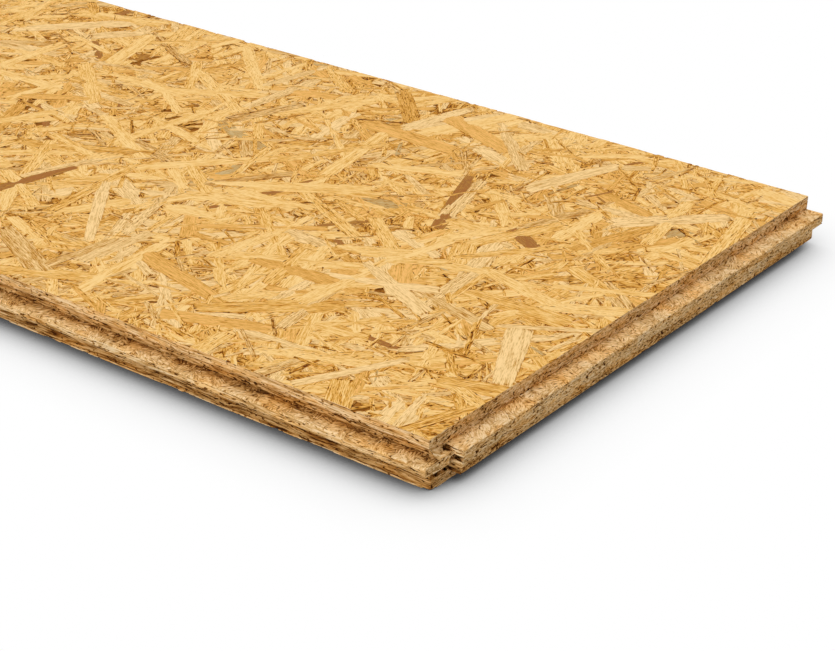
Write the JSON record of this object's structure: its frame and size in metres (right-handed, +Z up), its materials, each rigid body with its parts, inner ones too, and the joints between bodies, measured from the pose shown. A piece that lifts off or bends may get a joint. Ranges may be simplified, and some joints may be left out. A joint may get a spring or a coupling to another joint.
{
  "type": "tongue and groove osb floor panel",
  "caption": "Flat rectangular floor panel of pressed wood strands, with a tongue on one long side and one end and matching grooves on the others.",
  "frame": {"origin": "centre of the overall box, tongues included, on the underside that rests on the floor", "axes": "+X along the length, out of the end with the tongue; -Y out of the long side with the tongue; +Z up, out of the top face"},
  "size_m": [1.2292, 0.329, 0.025],
  "materials": {
    "pressed_strands": "pressed wood strands, unsanded, satin"
  },
  "bodies": {
    "root": {"osb_panel": "pressed_strands"}
  },
  "joints": []
}
